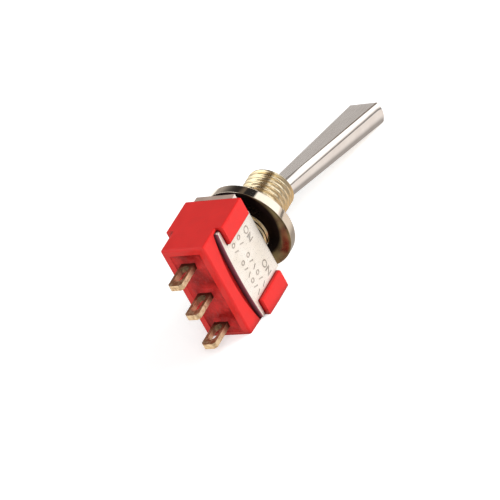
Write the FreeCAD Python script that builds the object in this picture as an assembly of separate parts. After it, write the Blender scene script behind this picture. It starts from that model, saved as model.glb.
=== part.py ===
import FreeCAD
import Part
import math
import os

V = FreeCAD.Vector

# Scale of the switch, all sizes in millimetres and angles in degrees.
terminal_pitch = 4.7

# Moulded case: a plain base, a narrower waist and a head at each end.
case_height = 9.3
case_end_wall = 1.2
waist_wall = 0.9
base_step = 0.35
head_step = 1.35
head_length = 2.65
head_underside = 3.7
case_round = 0.3
head_chamfer = 0.15
cavity_side_gap = 0.25
cavity_floor = 1.3
pocket_end_wall = 0.35
pocket_low_end = 2.75
pocket_low_middle = 1.75

# Resin that seals the terminals into the underside.
seal_end_rim = 0.95
seal_side_rim = 1.0
seal_depth = 0.75
seal_recess = 0.12

# Saddle frame, one bent sheet over the case.
frame_sheet = 0.76
frame_bend = 0.35
plate_end_gap = 0.1
tab_end_gap = 0.1
tab_top_gap = 0.08
tab_low_end = 2.95
tab_low_middle = 2.57
tab_corner = 0.25
tab_edge = 0.2

# Threaded bushing.
thread_diameter = 6.35
bushing_rise = 4.3
bushing_neck_radius = 3.0
bushing_tenon_radius = 2.73
bushing_chamfer = 0.2
bore_mouth_radius = 2.55
bore_low_radius = 2.35
bore_mouth_height = 2.3
bore_low_drop = 2.4
throat_rise = 1.05
bore_exit_radius = 2.68

# Lever with its ball, stem and guide pin.
pivot_rise = 5.54
lever_throw = 15.0
lever_length = 29.7
lever_root_radius = 1.335
lever_tip_radius = 2.6
flat_root_half = 1.212
flat_tip_half = 1.47
flat_start = 1.2
lever_tip_round = 0.18
ball_radius = 2.05
stem_radius = 1.2
stem_length = 4.2
stem_bore_radius = 0.75
stem_bore_top = 0.6
pin_radius = 0.4
pin_half_length = 2.32

# Spring and plunger inside the stem.
spring_length = 1.6
spring_wire = 0.2
spring_turns = 5
spring_steps = 12
spring_wire_sides = 6
spring_side_gap = 0.07
spring_end_gap = 0.02
plunger_radius = 0.7

# Rocking contact strip and its buttons.
strip_top = 5.85
strip_thickness = 0.35
strip_width = 3.2
strip_neck = 2.2
strip_notch = 1.1
strip_end_gap = 0.45
saddle_half_span = 2.75
rocker_throw = 7.0
button_radius = 0.8
button_height = 0.45
button_shank = 0.35

# Solder terminals.
blade_thickness = 0.76
blade_width = 2.04
blade_length = 4.2
blade_tip_cut = 0.35
eye_width = 1.15
eye_length = 2.7
eye_start = 0.6
pad_length = 1.7
pad_thickness = 0.6
common_head_lap = 0.1
common_ear_width = 0.5
common_ear_rise = 0.95

# Round mounting nut.
nut_radius = 6.1
nut_face_radius = 5.0
nut_rise = 1.44
nut_bevel = 0.28
nut_thickness = 1.8
nut_edge = 0.15
spanner_hole_radius = 0.6
spanner_hole_ring = 4.6
spanner_hole_depth = 0.8

# Clearances.
leg_gap = 0.04
sheet_hole_gap = 0.02
slot_gap = 0.02
ball_gap = 0.05
pin_gap = 0.05
press_gap = 0.01
thread_gap = 0.025
tip_gap_rest = 0.02
tip_gap_middle = 0.05
fulcrum_gap = 0.02
contact_gap = 0.02

# Places that follow from the sizes above.
# Heights are counted from the case's underside and moved at export, so that the
# finished parts have their origin in the upper face of the nut, on the bushing's axis.
# The full thread diameter is drawn above that face only, as the mount for a panel.
strip_half_length = terminal_pitch + button_radius
cavity_length = 2 * (strip_half_length + strip_end_gap)
case_length = cavity_length + 2 * case_end_wall
half_length = case_length / 2
common_head_width = strip_width + 2 * common_head_lap
cavity_width = common_head_width + 2 * cavity_side_gap
waist_half = cavity_width / 2 + waist_wall
base_width = 2 * (waist_half + base_step)
head_width = 2 * (waist_half + head_step)
seal_length = case_length - 2 * seal_end_rim
seal_width = base_width - 2 * seal_side_rim
frame_width = 2 * (waist_half + leg_gap + frame_sheet)
plate_top = case_height + frame_sheet
nut_bottom = plate_top + nut_rise
seat_height = nut_bottom + nut_thickness
pivot_height = plate_top + pivot_rise
bushing_top = pivot_height + bushing_rise
bore_mouth_top = case_height + bore_mouth_height
bore_low_top = pivot_height - bore_low_drop
thread_radius = thread_diameter / 2
thread_lead_in = thread_radius - bushing_neck_radius
seat_radius = ball_radius + ball_gap
throat_radius = math.sqrt(seat_radius ** 2 - throat_rise ** 2)
plunger_reach = pivot_height - strip_top - tip_gap_middle
tip_centre_reach = plunger_reach - plunger_radius
strip_under = strip_top - strip_thickness
fulcrum_radius = blade_thickness / 2
fulcrum_height = strip_under - fulcrum_gap - fulcrum_radius
throw = math.radians(lever_throw)
rock = math.radians(rocker_throw)


def block(x0, x1, y0, y1, z0, z1):
    return Part.makeBox(x1 - x0, y1 - y0, z1 - z0, V(x0, y0, z0))


def centred(length, width, z0, z1, x=0.0):
    return block(x - length / 2, x + length / 2, -width / 2, width / 2, z0, z1)


def rod(radius, z0, z1, x=0.0, y=0.0):
    return Part.makeCylinder(radius, z1 - z0, V(x, y, z0))


def turned(profile):
    # Closed outline of (radius, height) pairs turned about the Z axis.
    points = [V(r, 0, z) for r, z in profile]
    wire = Part.makePolygon(points + [points[0]])
    return Part.Face(wire).revolve(V(0, 0, 0), V(0, 0, 1), 360)


def side_plate(outline, y0, y1):
    # Closed wire drawn in the XZ plane, given thickness along Y.
    face = Part.Face(outline)
    face.translate(V(0, y0, 0))
    return face.extrude(V(0, y1 - y0, 0))


def one_solid(shape):
    shape = shape.removeSplitter()
    solids = shape.Solids
    if len(solids) != 1:
        raise RuntimeError("a piece came out in %d solids" % len(solids))
    return solids[0]


def is_upright(edge):
    box = edge.BoundBox
    return box.XLength < 1e-6 and box.YLength < 1e-6


def is_level_at(edge, z):
    box = edge.BoundBox
    return abs(box.ZMin - z) < 1e-6 and abs(box.ZMax - z) < 1e-6


def rounded_base():
    # Plain block with its upright edges and its lower rim rounded.
    base = centred(case_length, base_width, 0, head_underside)
    edges = [e for e in base.Edges if is_upright(e) or is_level_at(e, 0)]
    return base.makeFillet(case_round, edges)


def head(side):
    # Block at one end, its upright edges rounded and its upper rim bevelled.
    x0 = min(side * half_length, side * (half_length - head_length))
    shape = block(x0, x0 + head_length, -head_width / 2, head_width / 2,
                  head_underside, case_height)
    shape = shape.makeFillet(case_round, [e for e in shape.Edges if is_upright(e)])
    rim = [e for e in shape.Edges if is_level_at(e, case_height)]
    return shape.makeChamfer(head_chamfer, rim)


def saddle_radius():
    # Radius of the strip's saddle that keeps the plunger tip clear in both throws.
    rise = strip_top - fulcrum_height
    m = plunger_radius + tip_gap_rest
    a = -tip_centre_reach * math.sin(throw) + rise * math.sin(rock)
    b = pivot_height - tip_centre_reach * math.cos(throw) - fulcrum_height
    b = b - rise * math.cos(rock)
    return (a * a + b * b - m * m) / (2 * (b * math.cos(rock) - a * math.sin(rock) - m))


def arm_height():
    # Upper face of the straight arms of the strip when it lies level.
    radius = saddle_radius()
    return strip_top + radius - math.sqrt(radius ** 2 - saddle_half_span ** 2)


def fixed_button_top():
    # Height of the fixed button's crown under the closed moving button.
    x = -terminal_pitch
    z = arm_height() - strip_thickness - button_height - fulcrum_height
    qx = x * math.cos(rock) - z * math.sin(rock)
    qz = x * math.sin(rock) + z * math.cos(rock) + fulcrum_height
    reach = contact_gap + (qx - x) * math.sin(rock)
    return qz - reach / math.cos(rock)


def tilt_with_lever(shape):
    shape = shape.copy()
    shape.rotate(V(0, 0, 0), V(0, 1, 0), lever_throw)
    shape.translate(V(0, 0, pivot_height))
    return shape


def tilt_with_rocker(shape):
    shape = shape.copy()
    shape.rotate(V(0, 0, fulcrum_height), V(0, 1, 0), -rocker_throw)
    return shape


def bowed_outline(half, low_end, low_middle, top):
    # Upright outline with a straight top and a lower edge bowed downwards.
    left_low = V(-half, 0, low_end)
    right_low = V(half, 0, low_end)
    bow = Part.Arc(left_low, V(0, 0, low_middle), right_low).toShape()
    right = Part.makeLine(right_low, V(half, 0, top))
    lid = Part.makeLine(V(half, 0, top), V(-half, 0, top))
    left = Part.makeLine(V(-half, 0, top), left_low)
    return Part.Wire([bow, right, lid, left])


def blade_slots(x):
    return centred(blade_thickness + 2 * slot_gap, blade_width + 2 * slot_gap,
                   -1, cavity_floor + 1, x)


def make_case():
    core = centred(case_length - head_length, 2 * waist_half, case_round, case_height)
    body = rounded_base().fuse(core).fuse(head(-1)).fuse(head(1))
    pocket = bowed_outline(half_length - pocket_end_wall, pocket_low_end,
                           pocket_low_middle, head_underside)
    body = body.cut(side_plate(pocket, waist_half, base_width))
    body = body.cut(side_plate(pocket, -base_width, -waist_half))
    body = body.cut(centred(cavity_length, cavity_width, cavity_floor, case_height + 1))
    body = body.cut(centred(seal_length, seal_width, -1, seal_depth))
    for place in (-1, 0, 1):
        body = body.cut(blade_slots(place * terminal_pitch))
    return one_solid(body)


def make_seal():
    gap = press_gap
    seal = centred(seal_length - 2 * gap, seal_width - 2 * gap, seal_recess, seal_depth)
    for place in (-1, 0, 1):
        seal = seal.cut(centred(blade_thickness + 2 * gap, blade_width + 2 * gap,
                                -1, seal_depth + 1, place * terminal_pitch))
    return one_solid(seal)


def make_leg(side):
    leg_half = half_length - head_length - 0.08
    outer = side * frame_width / 2
    inner = side * (frame_width / 2 - frame_sheet)
    y0, y1 = min(outer, inner), max(outer, inner)
    leg = block(-leg_half, leg_half, y0, y1, head_underside - 0.6, plate_top)
    tab = bowed_outline(half_length - pocket_end_wall - tab_end_gap, tab_low_end,
                        tab_low_middle, head_underside - tab_top_gap)
    return leg.fuse(side_plate(tab, y0, y1))


def make_frame():
    leg_half = half_length - head_length - 0.08
    plate = centred(case_length - 2 * plate_end_gap, 2 * waist_half, case_height, plate_top)
    middle = centred(2 * leg_half, frame_width, case_height, plate_top)
    frame = plate.fuse(middle)
    for side in (-1, 1):
        frame = frame.fuse(make_leg(side))
    frame = frame.removeSplitter()
    bends = [e for e in frame.Edges if is_level_at(e, plate_top)
             and abs(abs(e.BoundBox.YMin) - frame_width / 2) < 1e-6
             and e.BoundBox.YLength < 1e-6]
    frame = frame.makeFillet(frame_bend, bends)
    corner_x = half_length - pocket_end_wall - tab_end_gap
    corners = [e for e in frame.Edges if e.BoundBox.XLength < 1e-6
               and abs(abs(e.BoundBox.XMin) - corner_x) < 1e-6
               and e.BoundBox.ZLength < 1e-6]
    frame = frame.makeFillet(tab_corner, corners)
    rims = [e for e in frame.Edges if e.BoundBox.YLength < 1e-6
            and abs(abs(e.BoundBox.YMin) - frame_width / 2) < 1e-6
            and e.BoundBox.ZMax < head_underside - tab_top_gap - tab_corner / 2
            and e.BoundBox.XLength > 2 * tab_corner]
    frame = frame.makeFillet(tab_edge, rims)
    hole = rod(bushing_tenon_radius + sheet_hole_gap, case_height - 1, plate_top + 1)
    return one_solid(frame.cut(hole))


def bushing_bore():
    top = bushing_top + 1
    slope = (bore_exit_radius - throat_radius) / (bushing_top - pivot_height - throat_rise)
    low = turned([(0, case_height - 1), (bore_mouth_radius, case_height - 1),
                  (bore_mouth_radius, case_height), (bore_low_radius, bore_mouth_top),
                  (bore_low_radius, bore_low_top), (seat_radius, bore_low_top + 0.3),
                  (seat_radius, pivot_height), (0, pivot_height)])
    flare = turned([(0, pivot_height), (throat_radius * 0.5, pivot_height),
                    (throat_radius, pivot_height + throat_rise),
                    (bore_exit_radius + slope, top), (0, top)])
    seat = Part.makeSphere(seat_radius, V(0, 0, pivot_height))
    return low.fuse(flare).fuse(seat)


def make_bushing():
    chamfer = bushing_chamfer
    shell = turned([(0, case_height), (bushing_tenon_radius, case_height),
                    (bushing_tenon_radius, plate_top), (bushing_neck_radius, plate_top),
                    (bushing_neck_radius, seat_height - thread_lead_in),
                    (thread_radius, seat_height),
                    (thread_radius, bushing_top - chamfer),
                    (thread_radius - chamfer, bushing_top), (0, bushing_top)])
    shell = shell.cut(bushing_bore())
    groove_half = pin_radius + pin_gap
    reach = pin_half_length + pin_gap
    groove = block(-groove_half, groove_half, -reach, reach,
                   case_height - 1, pivot_height)
    crown = Part.makeCylinder(groove_half, 2 * reach, V(0, -reach, pivot_height), V(0, 1, 0))
    return one_solid(shell.cut(groove.fuse(crown)))


def lever_width_cut():
    # Outline kept between the two milled flats, wider towards the tip.
    slope = (flat_tip_half - flat_root_half) / lever_length
    low = flat_root_half + slope * flat_start
    far = 2 * lever_tip_radius
    top = lever_length + 1
    high = flat_root_half + slope * top
    cuts = []
    for side in (-1, 1):
        points = [V(side * low, 0, flat_start), V(side * far, 0, flat_start),
                  V(side * far, 0, top), V(side * high, 0, top)]
        outline = Part.makePolygon(points + [points[0]])
        cuts.append(side_plate(outline, -far, far))
    return cuts


def make_lever():
    bat = turned([(0, 0), (lever_root_radius, 0),
                  (lever_tip_radius, lever_length - lever_tip_round),
                  (lever_tip_radius - lever_tip_round, lever_length), (0, lever_length)])
    for cut in lever_width_cut():
        bat = bat.cut(cut)
    ball = Part.makeSphere(ball_radius)
    for cut in lever_width_cut():
        ball = ball.cut(cut)
    lever = bat.fuse(ball).fuse(rod(stem_radius, -stem_length, 0))
    lever = lever.cut(rod(stem_bore_radius, -stem_length - 1, -stem_bore_top))
    eye = Part.makeCylinder(pin_radius + press_gap, 4 * ball_radius,
                            V(0, -2 * ball_radius, 0), V(0, 1, 0))
    return one_solid(tilt_with_lever(lever.cut(eye)))


def make_guide_pin():
    pin = Part.makeCylinder(pin_radius, 2 * pin_half_length,
                            V(0, -pin_half_length, 0), V(0, 1, 0))
    return tilt_with_lever(pin)


def wire_section(start, along):
    # Many-sided outline of the spring wire, square to the coil at its start.
    across = along.cross(V(0, 0, 1)).normalize()
    up = across.cross(along).normalize()
    points = []
    for i in range(spring_wire_sides):
        turn = 2 * math.pi * i / spring_wire_sides
        offset = across * math.cos(turn) + up * math.sin(turn)
        points.append(start + offset * (spring_wire / 2))
    return Part.makePolygon(points + [points[0]])


def make_spring():
    coil = stem_bore_radius - spring_side_gap - spring_wire / 2
    rise = spring_length - spring_wire - 2 * spring_end_gap
    low = -stem_bore_top - spring_length + spring_end_gap + spring_wire / 2
    count = spring_turns * spring_steps
    points = []
    for i in range(count + 1):
        turn = 2 * math.pi * i / spring_steps
        points.append(V(coil * math.cos(turn), coil * math.sin(turn), low + rise * i / count))
    section = wire_section(points[0], points[1] - points[0])
    spring = Part.makePolygon(points).makePipeShell([section], True, False, 1)
    return tilt_with_lever(Part.Solid(spring))


def make_plunger():
    top = -stem_bore_top - spring_length
    plunger = rod(plunger_radius, -tip_centre_reach, top)
    plunger = plunger.fuse(Part.makeSphere(plunger_radius, V(0, 0, -tip_centre_reach)))
    return one_solid(tilt_with_lever(plunger))


def make_strip():
    radius = saddle_radius()
    centre = strip_top + radius
    span = saddle_half_span
    outer = radius + strip_thickness
    arm = arm_height()
    under_arm = arm - strip_thickness
    under_span = math.sqrt(outer ** 2 - (centre - under_arm) ** 2)
    end = strip_half_length
    upper = Part.Arc(V(-span, 0, arm), V(0, 0, strip_top), V(span, 0, arm)).toShape()
    lower = Part.Arc(V(under_span, 0, under_arm), V(0, 0, strip_under),
                     V(-under_span, 0, under_arm)).toShape()
    right = Part.makePolygon([V(span, 0, arm), V(end, 0, arm), V(end, 0, under_arm),
                              V(under_span, 0, under_arm)])
    left = Part.makePolygon([V(-under_span, 0, under_arm), V(-end, 0, under_arm),
                             V(-end, 0, arm), V(-span, 0, arm)])
    outline = Part.Wire([upper] + right.Edges + [lower] + left.Edges)
    strip = side_plate(outline, -strip_width / 2, strip_width / 2)
    for side in (-1, 1):
        y0 = min(side * strip_neck / 2, side * strip_width)
        y1 = max(side * strip_neck / 2, side * strip_width)
        strip = strip.cut(block(-strip_notch / 2, strip_notch / 2, y0, y1, 0, case_height))
        strip = strip.cut(rod(button_shank + press_gap, 0, case_height,
                              side * terminal_pitch))
    return one_solid(tilt_with_rocker(strip))


def make_moving_button(side):
    arm = arm_height()
    under = arm - strip_thickness
    x = side * terminal_pitch
    button = rod(button_radius, under - button_height, under, x)
    button = button.fuse(rod(button_shank, under, arm, x))
    return one_solid(tilt_with_rocker(button))


def make_fixed_button(side):
    top = fixed_button_top()
    x = side * terminal_pitch
    low = top - button_height
    foot = low - pad_thickness
    # The crown slopes like the tilted strip, so the moving button lies along it.
    rim = top - button_radius * math.tan(rock)
    button = turned([(0, foot), (button_shank, foot), (button_shank, low),
                     (button_radius, low), (button_radius, rim), (0, top)])
    button.translate(V(x, 0, 0))
    return one_solid(button)


def blade(x, top):
    half_width = blade_width / 2
    low = -blade_length
    cut = blade_tip_cut
    points = [V(x, -half_width, top), V(x, -half_width, low + cut),
              V(x, -half_width + cut, low), V(x, half_width - cut, low),
              V(x, half_width, low + cut), V(x, half_width, top)]
    face = Part.Face(Part.makePolygon(points + [points[0]]))
    face.translate(V(-blade_thickness / 2, 0, 0))
    return face.extrude(V(blade_thickness, 0, 0)).cut(blade_eye(x))


def blade_eye(x):
    radius = eye_width / 2
    reach = V(2 * blade_thickness, 0, 0)
    start = V(x - blade_thickness, 0, 0)
    upper = start + V(0, 0, -eye_start - radius)
    lower = start + V(0, 0, -eye_start - eye_length + radius)
    hole = Part.makeCylinder(radius, reach.x, upper, V(1, 0, 0))
    hole = hole.fuse(Part.makeCylinder(radius, reach.x, lower, V(1, 0, 0)))
    web = block(start.x, start.x + reach.x, -radius, radius, lower.z, upper.z)
    return hole.fuse(web)


def make_side_terminal(side):
    x = side * terminal_pitch
    top = fixed_button_top() - button_height
    terminal = blade(x, top)
    terminal = terminal.fuse(centred(pad_length, blade_width, top - pad_thickness, top, x))
    hole = rod(button_shank + press_gap, top - pad_thickness, top + 1, x)
    return one_solid(terminal.cut(hole))


def make_common_terminal():
    half = blade_thickness / 2
    head_low = fulcrum_height - 0.9
    terminal = blade(0, fulcrum_height)
    terminal = terminal.fuse(centred(blade_thickness, common_head_width,
                                     head_low, fulcrum_height))
    ridge = Part.makeCylinder(fulcrum_radius, strip_neck, V(0, -strip_neck / 2, fulcrum_height),
                              V(0, 1, 0))
    terminal = terminal.fuse(ridge)
    for side in (-1, 1):
        outer = side * common_head_width / 2
        inner = side * (common_head_width / 2 - common_ear_width)
        ear = block(-half, half, min(outer, inner), max(outer, inner),
                    head_low, fulcrum_height + common_ear_rise)
        terminal = terminal.fuse(ear)
    return one_solid(terminal)


def make_nut():
    top = nut_bottom + nut_thickness
    bore = thread_radius + thread_gap
    nut = turned([(bore, nut_bottom), (nut_face_radius, nut_bottom),
                  (nut_radius, nut_bottom + nut_bevel), (nut_radius, top - nut_edge),
                  (nut_radius - nut_edge, top), (bore, top)])
    for side in (-1, 1):
        hole = rod(spanner_hole_radius, top - spanner_hole_depth, top + 1,
                   side * spanner_hole_ring)
        nut = nut.cut(hole)
    return one_solid(nut)


def export(name, shape):
    placed = shape.copy()
    placed.translate(V(0, 0, -seat_height))
    placed.exportStep("parts/" + name + ".step")


def main():
    os.makedirs("parts", exist_ok=True)
    export("case", make_case())
    export("terminal_seal", make_seal())
    export("saddle_frame", make_frame())
    export("bushing", make_bushing())
    export("lever", make_lever())
    export("guide_pin", make_guide_pin())
    export("plunger_spring", make_spring())
    export("plunger", make_plunger())
    export("contact_strip", make_strip())
    export("terminal_common", make_common_terminal())
    sides = {"left": -1, "right": 1}
    for name, side in sides.items():
        export("moving_button_" + name, make_moving_button(side))
        export("fixed_button_" + name, make_fixed_button(side))
        export("terminal_" + name, make_side_terminal(side))
    export("mounting_nut", make_nut())


main()
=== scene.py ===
"""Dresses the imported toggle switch: finer shapes, finishes, stage, lamps and camera."""
import math

import bmesh
import bpy
from mathutils import Matrix, Vector, noise


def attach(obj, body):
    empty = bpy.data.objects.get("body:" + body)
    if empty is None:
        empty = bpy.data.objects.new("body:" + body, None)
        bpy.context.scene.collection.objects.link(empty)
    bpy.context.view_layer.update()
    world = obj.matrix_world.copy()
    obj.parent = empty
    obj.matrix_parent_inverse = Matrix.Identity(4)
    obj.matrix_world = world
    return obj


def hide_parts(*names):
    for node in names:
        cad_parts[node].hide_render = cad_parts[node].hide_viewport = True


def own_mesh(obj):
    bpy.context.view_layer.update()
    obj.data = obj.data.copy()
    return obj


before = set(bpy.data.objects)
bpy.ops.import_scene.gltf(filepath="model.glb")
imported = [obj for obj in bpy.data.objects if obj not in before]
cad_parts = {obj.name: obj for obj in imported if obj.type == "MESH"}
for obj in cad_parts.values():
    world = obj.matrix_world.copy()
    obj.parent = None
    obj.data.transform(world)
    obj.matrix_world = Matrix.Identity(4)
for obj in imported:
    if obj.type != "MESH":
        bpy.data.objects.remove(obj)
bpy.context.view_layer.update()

bl_info = {
    "name": "Toggle Switch Dressing",
    "version": (1, 0, 0),
    "blender": (4, 5, 0),
    "location": "3D View > Sidebar > Switch",
    "description": "Builds the visible pieces of a miniature toggle switch around its CAD frame",
    "category": "Object",
}

# Shapes are made in millimetres and brought to metres when a piece is seated.
MM = 0.001
METRE = 1000.0
TURN = 2 * math.pi

# Heights of the source are counted from the case's underside, in millimetres.
SEAT_HEIGHT = 13.3
CASE_HEIGHT = 9.3
PLATE_TOP = 10.06
PIVOT_HEIGHT = 15.6
BUSHING_TOP = 19.9
NUT_BOTTOM = 11.5

# Other sizes of the source, in millimetres.
CASE_END = 7.15
TERMINAL_PITCH = 4.7
BLADE_HALF_X = 0.38
BLADE_HALF_Y = 1.02
SHEET = 0.76
LEG_FACE = 3.65
LEG_HALF_WIDTH = 4.4
LEVER_LENGTH = 29.7
LEVER_STEM = 1.2
LEVER_BALL = 2.05
BORE_RADIUS = 0.75
BORE_END = 0.6
FLAT_START = 1.2
TIP_ROUND = 0.22

LEVER_THROW = math.radians(15.0)
LEVER_TURN = Matrix.Rotation(LEVER_THROW, 4, "Y")
LEVER_AXIS = LEVER_TURN.to_3x3() @ Vector((0, 0, 1))

# Most of a noise texture lies in this range.
NOISE_RANGE = (0.3, 0.7)

# Camera fitted to the photograph, in the row frame.
CAMERA_PLACE = (-0.16586, -0.18575, -0.21062)
CAMERA_RIGHT = (0.4142, -0.8193, 0.3965)
CAMERA_DOWN = (0.7495, 0.0599, -0.6593)
FOCAL_PIXELS = 2641.7
PICTURE_PIXELS = 500.0
SENSOR_WIDTH = 36.0


def srgb(red, green, blue):
    """Linear colour of an 8-bit screen colour."""
    out = []
    for value in (red, green, blue):
        part = value / 255
        out.append(part / 12.92 if part <= 0.04045 else ((part + 0.055) / 1.055) ** 2.4)
    return (*out, 1.0)


def opaque(colour):
    """A colour of three numbers, with full alpha."""
    return (*colour, 1.0)


def drop(height):
    """A height above the case's underside, as a height in the row frame, in millimetres."""
    return height - SEAT_HEIGHT


def add(tree, kind, links=None, values=None, **settings):
    """One node of any node tree, with its links and values."""
    node = tree.nodes.new(kind)
    for key, value in settings.items():
        setattr(node, key, value)
    for key, value in (values or {}).items():
        node.inputs[key].default_value = value
    for key, source in (links or {}).items():
        tree.links.new(source, node.inputs[key])
    return node


def fill(tree, socket, value):
    """Sets a socket to a plain number or colour, or links another socket to it."""
    if isinstance(value, (int, float, tuple)):
        socket.default_value = value
    else:
        tree.links.new(value, socket)


def maths(tree, operation, *operands):
    """Maths node in any node tree; each operand is a socket or a number."""
    node = add(tree, "ShaderNodeMath", operation=operation)
    for socket, value in zip(node.inputs, operands):
        fill(tree, socket, value)
    return node.outputs[0]


def apart(tree, first, second):
    """How far two numbers lie apart; each is a socket or a number."""
    return maths(tree, "ABSOLUTE", maths(tree, "SUBTRACT", first, second))


def map_range(tree, value, low, high, to_low, to_high, smooth=False):
    """A number taken from one range to another; each part is a socket or a number."""
    node = add(tree, "ShaderNodeMapRange",
               interpolation_type="SMOOTHSTEP" if smooth else "LINEAR")
    for key, part in (("Value", value), ("From Min", low), ("From Max", high),
                      ("To Min", to_low), ("To Max", to_high)):
        fill(tree, node.inputs[key], part)
    return node.outputs["Result"]


def plain_sight(tree):
    """Is 1 for camera, glossy and transmission rays, and 0 for all others."""
    path = add(tree, "ShaderNodeLightPath").outputs
    seen = maths(tree, "MAXIMUM", path["Is Camera Ray"], path["Is Glossy Ray"])
    return maths(tree, "MAXIMUM", seen, path["Is Transmission Ray"])


class Finish:
    """A node material in the making: a Principled shader and what feeds it."""

    def __init__(self, name, metallic=0.0, roughness=0.4, specular=0.5):
        self.material = bpy.data.materials.new(name)
        self.material.use_nodes = True
        self.tree = self.material.node_tree
        self.shader = self.tree.nodes["Principled BSDF"]
        self.shader.inputs["Metallic"].default_value = metallic
        self.shader.inputs["Roughness"].default_value = roughness
        self.shader.inputs["Specular IOR Level"].default_value = specular
        self.place = self.node("ShaderNodeTexCoord")

    def node(self, kind, links=None, values=None, **settings):
        """Adds a node to the material."""
        return add(self.tree, kind, links, values, **settings)

    def feed(self, socket, source):
        """Links a source to a named socket of the shader."""
        self.tree.links.new(source, self.shader.inputs[socket])

    def noise(self, size_mm, detail=3.0, stretch=(1, 1, 1), turn_y=0.0, roughness=0.5):
        """Noise on Object coordinates whose features are about size_mm long."""
        mapping = self.node("ShaderNodeMapping", {"Vector": self.place.outputs["Object"]},
                            {"Scale": stretch, "Rotation": (0, turn_y, 0)},
                            vector_type="TEXTURE")
        return self.node("ShaderNodeTexNoise", {"Vector": mapping.outputs[0]},
                         {"Scale": METRE / size_mm, "Detail": detail,
                          "Roughness": roughness}).outputs["Fac"]

    def ramp(self, source, stops):
        """Colour ramp from (position, colour) stops."""
        node = self.node("ShaderNodeValToRGB", {"Fac": source})
        elements = node.color_ramp.elements
        while len(elements) < len(stops):
            elements.new(0.5)
        for element, (position, colour) in zip(elements, stops):
            element.position = position
            element.color = colour
        return node.outputs["Color"]

    def band(self, source, low, high, to_low, to_high):
        """A number taken from one range to another."""
        return map_range(self.tree, source, low, high, to_low, to_high)

    def blend(self, factor, first, second):
        """Mix of two colours, each a socket or a plain colour."""
        node = self.node("ShaderNodeMix", {"Factor": factor}, data_type="RGBA")
        # A Mix node has sockets for numbers and vectors before those for colours.
        fill(self.tree, node.inputs[6], first)
        fill(self.tree, node.inputs[7], second)
        return node.outputs[2]

    def painted_crevice_shade(self, colour, dark, reach_mm, share=1.0):
        """Painted shade: darkens a colour, a socket or plain, where other surfaces stand close.
        """
        node = self.node("ShaderNodeAmbientOcclusion", values={"Distance": reach_mm * MM},
                         samples=6)
        return self.blend(self.band(node.outputs["AO"], 0.15, 0.85, share, 0.0), colour, dark)

    def coordinate(self, axis, kind="Object"):
        """One part of the Object coordinates, or of the Normal, by the letter of its axis."""
        return self.node("ShaderNodeSeparateXYZ",
                         {"Vector": self.place.outputs[kind]}).outputs[axis]

    def gloss(self, source, low, high):
        """Lets the roughness follow a noise, from one value to another."""
        self.feed("Roughness", self.band(source, *NOISE_RANGE, low, high))

    def relief(self, source, depth_mm, strength):
        """Lets the surface rise and fall with a noise."""
        bump = self.node("ShaderNodeBump", {"Height": source},
                         {"Strength": strength, "Distance": depth_mm * MM})
        self.feed("Normal", bump.outputs["Normal"])


def moulded_red(colours):
    """Glossy moulded plastic with faint flow marks."""
    finish = Finish("moulded_red", specular=0.36)
    dark = opaque(part * 0.92 for part in colours.case_red)
    flow = finish.noise(1.6, detail=4)
    ground = finish.blend(finish.band(flow, 0.35, 0.7, 0, 1), dark, opaque(colours.case_red))
    # Painted shade, near-black red, in the case's grooves and hollows where other surfaces stand
    # close.
    finish.feed("Base Color", finish.painted_crevice_shade(ground, srgb(48, 2, 6), 1.4, 0.9))
    finish.gloss(flow, 0.34, 0.42)
    finish.relief(finish.noise(0.22, detail=2), 0.012, 0.5)
    return finish.material


def poured_resin(colours):
    """Dark red filler with wide soft blotches and a little pale dust."""
    finish = Finish("poured_resin", specular=0.22)
    blotch = finish.noise(3.0)
    dust = finish.noise(0.5, detail=4, roughness=0.65)
    ground = finish.ramp(blotch, ((0.42, opaque(colours.resin_red)),
                                  (0.58, srgb(198, 44, 42))))
    ground = finish.blend(finish.band(dust, 0.58, 0.82, 0, 0.25), ground,
                          srgb(218, 104, 98))
    # Painted shade, dark red, along the resin's border and round the blades.
    finish.feed("Base Color", finish.painted_crevice_shade(ground, srgb(104, 10, 14), 0.4, 0.6))
    finish.gloss(blotch, 0.34, 0.56)
    finish.relief(dust, 0.02, 0.5)
    return finish.material


def plated_metal(name, colour, shade, roughness, grain_mm, depth_mm, spread=0.08,
                 metallic=1.0, stretch=(1, 1, 1), turn_y=0.0, painted_crevice_shade=None):
    """Plating whose colour and gloss wander a little, over a fine grain."""
    finish = Finish(name, metallic=metallic)
    patch = finish.noise(2.4)
    ground = finish.blend(finish.band(patch, *NOISE_RANGE, 0, 1), shade, colour)
    # Painted shade, in the given colour, where other surfaces stand close.
    if painted_crevice_shade:
        ground = finish.painted_crevice_shade(ground, painted_crevice_shade, 0.8)
    finish.feed("Base Color", ground)
    grain = finish.noise(grain_mm, detail=2, stretch=stretch, turn_y=turn_y)
    finish.gloss(grain, max(roughness - spread, 0.03), roughness + spread)
    finish.relief(grain, depth_mm, 0.6)
    return finish.material


def cut_edge_painted_shade():
    """Cut edge of the sheet, in painted shade and painted reflection: almost black beside the
    case, purple brown at the leg's face.
    """
    finish = Finish("frame_cut_edge_painted_shade", metallic=0.5)
    off = maths(finish.tree, "ABSOLUTE", finish.coordinate("Y"))
    across = finish.band(off, (LEG_FACE - SHEET) * MM, LEG_FACE * MM, 0, 1)
    finish.feed("Base Color", finish.blend(across, srgb(58, 8, 14), srgb(164, 104, 120)))
    grain = finish.noise(0.2, detail=2)
    finish.gloss(grain, 0.3, 0.46)
    finish.relief(grain, 0.006, 0.6)
    return finish.material


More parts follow.
